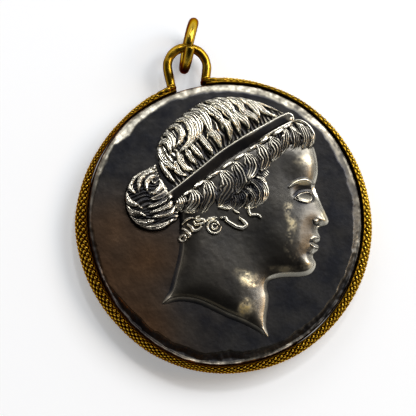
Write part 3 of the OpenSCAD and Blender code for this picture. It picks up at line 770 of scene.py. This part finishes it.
curls = {
    "box": (-6.6, -3.2, 5.2, 2.4),
    "cell": 0.06,
    "strokes": [
        (0.34, 0.42, -0.72, -0.75, -0.85, -1.25, -1.3, -1.6, -1.9, -1.6, -2.4, -1.25, -2.55, -0.7,
         -2.3, -0.15, -1.75, 0.1, -1.25, -0.05, -0.95, -0.5),
        (0.28, 0.42, -1.2, -0.7, -1.45, -1.05, -1.85, -0.95, -1.95, -0.6, -1.65, -0.35, -1.35, -0.45),
        (0.32, 0.42, -2.7, -0.1, -2.4, 0.3, -1.8, 0.5, -1.3, 0.5),
        (0.4, 0.5, -3.7, 0.6, -4.1, 0.45, -3.9, 0.1, -3.4, 0.25, -3, 0.1, -3.1, -0.3, -3.6, -0.4,
         -4.1, -0.5, -4.4, -0.1),
        (0.44, 0.5, -5.2, -0.5, -4.7, -0.8, -4.4, -1.3, -3.8, -1.2, -3.4, -0.8),
        (0.34, 0.42, -5.9, -0.4, -5.5, 0.05, -5, 0.35, -4.5, 0.4),
        (0.46, 0.5, -5.9, -1, -5.4, -1.3, -4.9, -1.8, -5, -2.2),
        (0.34, 0.44, -5.35, -2.3, -5.6, -1.9, -6.05, -1.95, -6.2, -2.4, -5.85, -2.75, -5.45, -2.55),
        (0.55, 0.55, -0.7, 0.5, -0.1, 0.5, 0.1, 0.1, 0.8, -0.35, 1.5, -0.7, 2.2, -0.8, 2.7, -0.45,
         2.4, 0.05, 1.8, 0.5),
        (0.34, 0.45, 1, 1.6, 1.3, 1.4, 1.7, 1.2),
        (0.44, 0.5, 3, 2.1, 3.05, 1.4, 3.35, 1, 3.9, 1, 4.3, 0.95, 4.65, 0.6),
        (0.4, 0.5, -1, 1.9, -0.5, 1.9, 0.3, 1.7)],
}


def curlRise(u, v):
    rise = np.full(u.shape, -1.0)
    base = np.maximum(headRise(u, v)[0], 0) - 0.1
    for width, lift, *points in curls["strokes"]:
        near, _, place = nearLine(u, v, smoothLine(points, 6))
        half = width * 0.62 * (0.5 + 0.5 * np.sin(np.pi * np.clip(place, 0.03, 0.97)) ** 0.6)
        top = base + lift * 1.1 * np.sqrt(np.clip(1 - (near / half) ** 2, 0, 1))
        rise = np.maximum(rise, np.where(near < half, top, base - (near - half) * 8))
    return rise, 0.1


def hexColour(code):
    parts = [int(code[k:k + 2], 16) / 255 for k in (1, 3, 5)]
    return (*[c / 12.92 if c <= 0.04045 else ((c + 0.055) / 1.055) ** 2.4 for c in parts], 1)


def addNode(tree, kind, settings=None, links=None):
    node = tree.nodes.new("ShaderNode" + kind)
    for key, value in (settings or {}).items():
        if isinstance(key, int) or key in node.inputs:
            node.inputs[key].default_value = value
        else:
            setattr(node, key, value)
    for key, source in (links or {}).items():
        tree.links.new(source, node.inputs[key])
    return node


def setRamp(node, stops):
    ramp = node.color_ramp
    while len(ramp.elements) < len(stops):
        ramp.elements.new(0.5)
    for element, (place, colour) in zip(ramp.elements, stops):
        element.position = place
        element.color = hexColour(colour)


def readAttribute(tree, name):
    return addNode(tree, "Attribute", {"attribute_name": name}).outputs["Fac"]


# Metal whose colour and polish follow the wear of each point, with painted light, painted shade and painted
# highlights mixed into it, clouds in the wear, tints laid over the colour, and a fine grain. Cast places are
# rougher
def wornMetal(name, clouds, cloudShare, stops, tints, polish, grain):
    material = bpy.data.materials.new(name)
    material.use_nodes = True
    tree = material.node_tree
    shader = tree.nodes["Principled BSDF"]
    place = addNode(tree, "TexCoord").outputs["Object"]
    cloudy = addNode(tree, "TexNoise", clouds, {"Vector": place}).outputs["Fac"]
    worn = addNode(tree, "Math", {"operation": "MULTIPLY_ADD", 1: cloudShare},
                   {0: cloudy, 2: readAttribute(tree, "wearAndPaintedLight")}).outputs[0]
    ramp = addNode(tree, "ValToRGB", None, {"Fac": worn})
    setRamp(ramp, stops)
    colour = ramp.outputs["Color"]
    for attribute, tint in tints:
        mix = addNode(tree, "Mix", {"data_type": "RGBA", "blend_type": "MULTIPLY"},
                      {0: readAttribute(tree, attribute), 6: colour})
        mix.inputs[7].default_value = hexColour(tint)
        colour = mix.outputs[2]
    dull = addNode(tree, "MapRange", polish, {"Value": worn}).outputs["Result"]
    rough = addNode(tree, "Math", {"operation": "MULTIPLY_ADD", 1: 0.2},
                    {0: readAttribute(tree, "cast"), 2: dull}).outputs[0]
    fine = addNode(tree, "TexNoise", {"Scale": grain, "Detail": 3.0}, {"Vector": place})
    bump = addNode(tree, "Bump", {"Strength": 0.12, "Distance": 0.0001},
                   {"Height": fine.outputs["Fac"]})
    tree.links.new(colour, shader.inputs["Base Color"])
    tree.links.new(rough, shader.inputs["Roughness"])
    tree.links.new(bump.outputs["Normal"], shader.inputs["Normal"])
    shader.inputs["Metallic"].default_value = 1
    return material


# Cast silver darkened with sulphur and rubbed: black hollows, a grey film, bright silver on the heights,
# with painted light and shade in the wear, a painted warm reflection and a painted golden highlight
def oxidisedSilver():
    return wornMetal(
        "cast_silver_oxidised_rubbed_and_painted_light",
        {"Scale": 260.0, "Detail": 5.0, "Roughness": 0.6}, 0.26,
        [(0.1, "#313237"), (0.3, "#66635d"), (0.5, "#a8a293"), (0.74, "#f7f2e2")],
        # The brown tint is a painted warm reflection, and the golden tint is a painted golden highlight
        [("brown", "#ffcaa4"), ("goldenHighlight", "#ffeab4")],
        {"From Min": 0.08, "From Max": 0.78, "To Min": 0.38, "To Max": 0.24}, 2600.0)


# Gold plate on brass, polished by wear, with brown tarnish left in the hollows, and painted light and painted
# shade laid on by angle
def goldPlate():
    material = wornMetal(
        "gold_plate_polished_tarnished_and_painted_shade",
        {"Scale": 400.0, "Detail": 4.0}, 0.35,
        [(0.15, "#2a1804"), (0.45, "#5c4110"), (0.75, "#a58122"), (1.0, "#e8c64c")],
        [("tarnishAndShade", "#c8a074")],
        {"From Min": 0.2, "From Max": 1.0, "To Min": 0.42, "To Max": 0.2}, 1800.0)
    shader = material.node_tree.nodes["Principled BSDF"]
    shader.inputs["Specular Tint"].default_value = hexColour("#c0904e")
    return material


band = {
    "radius": 20.15,  # at the fullest of the bulge
    "height": 4,
    "sag": 1.45,  # how far the round section would bulge from its chord
    "seatGap": 0.12,
    "lip": 0.22,  # thickness of the band's edge
    "chamfer": 0.05,  # of the edge round the bore
    "beads": 142,  # round the band
    "rowPitch": 0.52,
    "beadRise": 0.29,
    "gap": 4.4,  # between the loop's feet
    "gapRadius": 19.7,  # where that gap is measured
    "smoothTop": -0.1,  # from the top edge down to the knurl, which here runs over the edge
    "smoothBase": 0.45,
    "smoothEnd": 1.3,  # plain length next to each foot
    "net": ((1188, 60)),  # steps round the band, and round its section
    "bent": [  # how far the band is pushed out of round: [degrees, mm]
        [0, 0.1], [16, 0.2], [31, 0.3], [46, 0.3], [61, 0.12], [76, 0.2], [106, 0], [121, -0.4], [136, -0.45],
        [151, -0.3], [166, -0.1], [181, -0.2], [196, -0.28], [211, -0.28], [226, -0.1], [256, -0.1],
        [286, -0.1], [301, -0.2], [316, -0.15], [331, 0], [346, 0.1]],
    "paintedShine": [  # how much brighter the gilding is painted at each angle, as painted light and shade: [degrees, share]
        [0, 0.1], [25, 0], [45, -0.16], [60, 0], [75, 0.22], [105, 0], [135, -0.16], [180, -0.04],
        [215, -0.1], [240, -0.16], [270, -0.1], [300, -0.12], [330, -0.06]],
}


def makeBand():
    half = band["height"] / 2 - 0.1
    r = (band["sag"] ** 2 + half * half) / (2 * band["sag"])
    spread = math.asin(half / r)
    arc = 2 * spread * r
    columns, rows = band["net"]
    onBulge = rows - 6
    turn = np.linspace(-spread, spread, onBulge)
    bow = (np.cos(turn) - math.cos(spread)) / (1 - math.cos(spread))
    ob, i, j = newGrid("knurled_band", columns, rows)
    ends = math.asin(band["gap"] / 2 / band["gapRadius"])
    step = np.arange(columns + 1)
    angle = math.pi / 2 + ends + (2 * math.pi - 2 * ends) * step / columns
    inner = ovalReach(band["seatGap"], angle)
    lip = inner + band["lip"]
    full = band["radius"] + byAngle(band["bent"], angle)
    paintedShine = byAngle(band["paintedShine"], angle)
    top = band["height"] - 0.2 + 0.08 * softNoise(angle * 20, angle * 0, 4, 52)
    radius = np.zeros((rows, columns + 1))
    height = np.zeros((rows, columns + 1))
    wearAndPaintedLight = np.full((rows, columns + 1), 0.5)
    # Painted shade: the gilding is painted browner away from the key lamp's side, and less brown on the bead
    # crests, where the tarnish is rubbed off
    tarnishAndShade = np.tile(smoothStep(0.5 - 0.6 * np.cos(angle - math.radians(20))), (rows, 1))
    turns = angle / (2 * math.pi) * band["beads"]
    fromFoot = np.minimum(step, columns - step) / columns * (2 * math.pi - 2 * ends) * 20
    for k in range(onBulge):
        along = (turn[k] + spread) * r
        level = along / band["rowPitch"] / 2
        a = np.abs(2 * ((turns + level) % 1) - 1)
        b = np.abs(2 * ((turns - level) % 1) - 1)
        bead = np.clip(1.05 - a * a - b * b, 0, 1)
        fade = float(smoothStep((arc - along - band["smoothTop"]) / 0.2)
                     * smoothStep((along - band["smoothBase"]) / 0.3))
        fade = fade * smoothStep((fromFoot - band["smoothEnd"]) / 2)
        push = band["beadRise"] * (bead ** 0.7 - 0.75) * fade - 0.1 * smoothStep(1 - fromFoot)
        radius[k] = lip + (full - lip) * bow[k] + math.cos(turn[k]) * push
        height[k] = band["height"] / 2 + r * math.sin(turn[k]) + math.sin(turn[k]) * push
        height[k] = height[k] * top / band["height"]
        wearAndPaintedLight[k] = 0.5 + (0.8 * bead ** 2 - 0.27) * fade + paintedShine
        tarnishAndShade[k] *= 1 - 0.9 * bead ** 3 * fade
    # The edge, the bore's wall and the base close the section
    bore = band["lip"]
    edge = bore - band["chamfer"]
    corners = [(0.06, top), (edge, top), (bore, top - 0.1), (bore, 0.1), (edge, 0), (0.06, 0)]
    for k, (inward, level) in enumerate(corners):
        radius[onBulge + k] = lip - inward
        height[onBulge + k] = level
    j = j % rows
    setPoints(ob, radius[j, i] * np.cos(angle[i]), radius[j, i] * np.sin(angle[i]), height[j, i])
    setAttribute(ob, "wearAndPaintedLight", np.clip(wearAndPaintedLight[j, i], 0, 1))
    setAttribute(ob, "tarnishAndShade", tarnishAndShade[j, i])
    closeSeams()
    bpy.ops.object.shade_smooth()
    bpy.ops.object.shade_smooth_by_angle(angle=math.radians(60))
    print("knurled_band", len(ob.data.polygons), "faces")
    return ob


# Round wire along a path of points, with a thickness for each point
def wireAlong(name, path, thickness, sides=28):
    path = np.array(path, float)
    rows = len(path) - 1
    ob, i, j = newGrid(name, sides, rows)
    run = np.gradient(path, axis=0)
    run /= np.linalg.norm(run, axis=1)[:, None]
    # The paths are flat or nearly so, and this direction stands across them
    flat = np.linalg.svd(path - path.mean(0))[2][2]
    across = np.cross(run, flat)
    across /= np.linalg.norm(across, axis=1)[:, None]
    other = np.cross(run, across)
    angle = 2 * math.pi * i / sides
    r = np.asarray(thickness)[j] / 2
    co = path[j] + across[j] * (np.cos(angle) * r)[:, None] + other[j] * (np.sin(angle) * r)[:, None]
    setPoints(ob, *co.T)
    closeSeams()
    bpy.ops.object.shade_smooth()
    return ob


# Wires are painted lighter where they face up, a painted highlight, and darker and browner at the sides and
# below, painted shade
def paintTopLightAndSideShade(ob, least, most):
    normal = np.empty(len(ob.data.vertices) * 3)
    ob.data.vertex_normals.foreach_get("vector", normal)
    top = smoothStep(1.25 * normal[2::3] + 0.05)
    setAttribute(ob, "wearAndPaintedLight", least + (most - least) * top)
    setAttribute(ob, "tarnishAndShade", 1 - top)


loop = {
    "wire": 1.2,
    "radius": 2.7,
    "centre": (0.43, 22.35),
    "feet": 4.7,  # between the feet's middles
    "footY": 19.75,
    "sunk": 0.5,  # how far the feet reach below that
    "z": 2,
    "voxel": 0.055,  # of the mesh that joins wire and solder
    "softened": 9,
    "solder": [  # flowed round each foot and along the band: x, y, z, three half sizes, turn
        (2.5, 19.72, 2.2, 0.85, 0.5, 1.75, -7),
        (3.2, 19.55, 2.6, 1.1, 0.42, 1.38, -9),
        (4.4, 19.25, 2.8, 1.2, 0.4, 1.1, -12),
        (-2.55, 19.72, 2.2, 0.8, 0.5, 1.75, 7),
        (-3.2, 19.55, 2.6, 0.9, 0.42, 1.35, 9),
        (-4, 19.4, 2.7, 0.8, 0.36, 1.1, 11)],
}


# Up one leg, round the loop and down the other leg
def loopPath():
    centre = np.array(loop["centre"])
    legs = []
    ends = []
    for side in (1, -1):
        foot = np.array([side * loop["feet"] / 2, loop["footY"]])
        to = centre - foot
        far = np.hypot(*to)
        way = math.atan2(to[1], to[0]) - side * math.asin(loop["radius"] / far)
        reach = np.linspace(-loop["sunk"], math.sqrt(far ** 2 - loop["radius"] ** 2), 10)[:-1]
        legs.append(foot + reach[:, None] * [math.cos(way), math.sin(way)])
        ends.append(way - side * math.pi / 2)
    turn = np.linspace(*ends, 60)
    arc = centre + loop["radius"] * np.stack([np.cos(turn), np.sin(turn)], 1)
    path = np.vstack([legs[0], arc, legs[1][::-1]])
    return np.c_[path, np.full(len(path), loop["z"])]


def makeLoop():
    path = loopPath()
    place = np.linspace(0, 1, len(path))
    thick = loop["wire"] * (1.03 + 0.03 * np.sin(place * 23) + 0.02 * np.sin(place * 57))
    ob = wireAlong("soldered_loop", path, thick)
    parts = [ob]
    for x, y, z, wide, deep, high, turn in loop["solder"]:
        bpy.ops.mesh.primitive_uv_sphere_add(segments=40, ring_count=24, radius=mm)
        blob = bpy.context.object
        blob.scale = (wide, deep, high)
        blob.rotation_euler = (0, 0, math.radians(turn))
        blob.location = (x * mm, y * mm, z * mm)
        bpy.ops.object.transform_apply(location=True, rotation=True, scale=True)
        parts.append(blob)
    bpy.ops.object.select_all(action="DESELECT")
    for part in parts:
        part.select_set(True)
    bpy.context.view_layer.objects.active = ob
    bpy.ops.object.join()
    remesh = ob.modifiers.new("remesh", "REMESH")
    remesh.mode = "VOXEL"
    remesh.voxel_size = loop["voxel"] * mm
    bpy.ops.object.modifier_apply(modifier="remesh")
    soften = ob.modifiers.new("soften", "SMOOTH")
    soften.factor = 0.5
    soften.iterations = loop["softened"]
    bpy.ops.object.modifier_apply(modifier="soften")
    bpy.ops.object.shade_smooth()
    paintTopLightAndSideShade(ob, 0.1, 0.57)
    print("soldered_loop", len(ob.data.polygons), "faces")
    return ob


ring = {
    "wire": 1.3,
    "diameter": 7.8,
    "turn": 66,  # degrees about Z from +X
    "cut": 0.15,
    "cutAt": 105,  # degrees from the side away from the coin
    "centre": (1.04, 24.75),
    "spring": 0.3,  # how far one end stands aside at the cut
    "steps": 150,
    "endSteps": 4,  # over which each end is rounded
}


def makeRing():
    r = (ring["diameter"] - ring["wire"]) / 2
    cut = ring["cut"] / r
    at = math.radians(ring["cutAt"])
    way = math.radians(ring["turn"])
    turn = np.linspace(at + cut / 2, at + 2 * math.pi - cut / 2, ring["steps"])
    place = np.linspace(0, 1, ring["steps"])
    aside = ring["spring"] * smoothStep((place - 0.75) * 4)
    out = r * np.cos(turn)
    up = r * np.sin(turn)
    x = ring["centre"][0] + out * math.cos(way) - aside * math.sin(way)
    y = ring["centre"][1] + out * math.sin(way) + aside * math.cos(way)
    z = ring["diameter"] / 2 + up
    thick = np.full(ring["steps"], ring["wire"])
    for k in range(ring["endSteps"]):
        share = math.sin(math.acos(1 - (k + 0.5) / ring["endSteps"]))
        thick[[k, -1 - k]] *= 0.78 + 0.22 * share
    ob = wireAlong("open_jump_ring", np.stack([x, y, z], 1), thick, 32)
    paintTopLightAndSideShade(ob, 0.15, 0.7)
    return ob


silver = oxidisedSilver()
gold = goldPlate()
coinParts = [
    makeCoin(),
    reliefPiece("head", head, headRise),
    reliefPiece("crown_hair", crown, crownRise),
    reliefPiece("front_roll", roll, rollRise),
    reliefPiece("bun_hair", bun, bunRise),
    reliefPiece("hair_band", headband, headbandRise),
    reliefPiece("neck_curls", curls, curlRise),
]
print("coin made")
for part in coinParts:
    part.data.materials.clear()
    part.data.materials.append(silver)
    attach(part, "root")
    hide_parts("coin")
goldParts = [(makeBand(), "bezel"), (makeLoop(), "bezel"), (makeRing(), "jump_ring")]
for part, node in goldParts:
    part.data.materials.clear()
    part.data.materials.append(gold)
    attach(part, "root")
    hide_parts(node)
print("band, loop and ring made")

studio = {
    "floor": "#f6f9fd",
    "glow": 0.31,  # light that comes through the floor, as on a light table
    "lights": [  # [name, watts, two sizes and distance, degrees from +X, degrees above the floor, colour]
        ["key", 4.9, 560, 430, 900, 23, 42, "#ffffff"],
        ["top", 1.3, 620, 340, 900, 98, 36, "#ffffff"],
        ["spark", 1.3, 110, 110, 900, 66, 54, "#ffffff"],
        ["warm", 0.4, 200, 160, 700, 352, 42, "#ffcf8a"]],
    "room": 0.95,  # strength of the room's own light
    "brightSide": 50,  # degrees from +X of the room's bright side
}


def placeLight(name, power, wide, deep, far, angle, above, colour):
    data = bpy.data.lights.new(name, "AREA")
    data.shape = "RECTANGLE"
    data.size = wide * mm
    data.size_y = deep * mm
    data.energy = power
    data.color = hexColour(colour)[:3]
    light = bpy.data.objects.new(name, data)
    bpy.context.scene.collection.objects.link(light)
    way = pointing(angle, above)
    light.location = way * far * mm
    light.rotation_mode = "QUATERNION"
    light.rotation_quaternion = way.to_track_quat("Z", "Y")


def makeStudio():
    bpy.ops.object.select_all(action="DESELECT")
    bpy.ops.mesh.primitive_plane_add(size=3)
    floor = bpy.context.object
    floor.name = "floor"
    paper = bpy.data.materials.new("matt_white_acrylic_light_table")
    paper.use_nodes = True
    shader = paper.node_tree.nodes["Principled BSDF"]
    shader.inputs["Base Color"].default_value = hexColour(studio["floor"])
    shader.inputs["Roughness"].default_value = 0.9
    shader.inputs["Emission Color"].default_value = hexColour("#ffffff")
    shader.inputs["Emission Strength"].default_value = studio["glow"]
    floor.data.materials.append(paper)
    for row in studio["lights"]:
        placeLight(*row)
    world = bpy.data.worlds.new("studio")
    bpy.context.scene.world = world
    world.use_nodes = True
    tree = world.node_tree
    place = addNode(tree, "TexCoord").outputs["Generated"]
    split = addNode(tree, "SeparateXYZ", None, {"Vector": place})
    ramp = addNode(tree, "ValToRGB", None, {"Fac": split.outputs["Z"]})
    setRamp(ramp, [(0.0, "#ffffff"), (0.3, "#e0e0e0"), (0.55, "#3c3c3c"), (0.8, "#1c1c1e")])
    side = math.radians(studio["brightSide"])
    toSide = (math.cos(side), math.sin(side), 0)
    facingLight = addNode(tree, "VectorMath", {"operation": "DOT_PRODUCT", 1: toSide}, {0: place})
    dimming = {"From Min": -0.7, "From Max": 0.7, "To Min": 0.25, "To Max": 1.0}
    share = addNode(tree, "MapRange", dimming, {"Value": facingLight.outputs["Value"]})
    power = addNode(tree, "Math", {"operation": "MULTIPLY", 1: studio["room"]},
                    {0: share.outputs["Result"]})
    back = tree.nodes["Background"]
    tree.links.new(ramp.outputs["Color"], back.inputs["Color"])
    tree.links.new(power.outputs[0], back.inputs["Strength"])


makeStudio()
bpy.context.scene.view_settings.view_transform = "Standard"
print("studio lit")
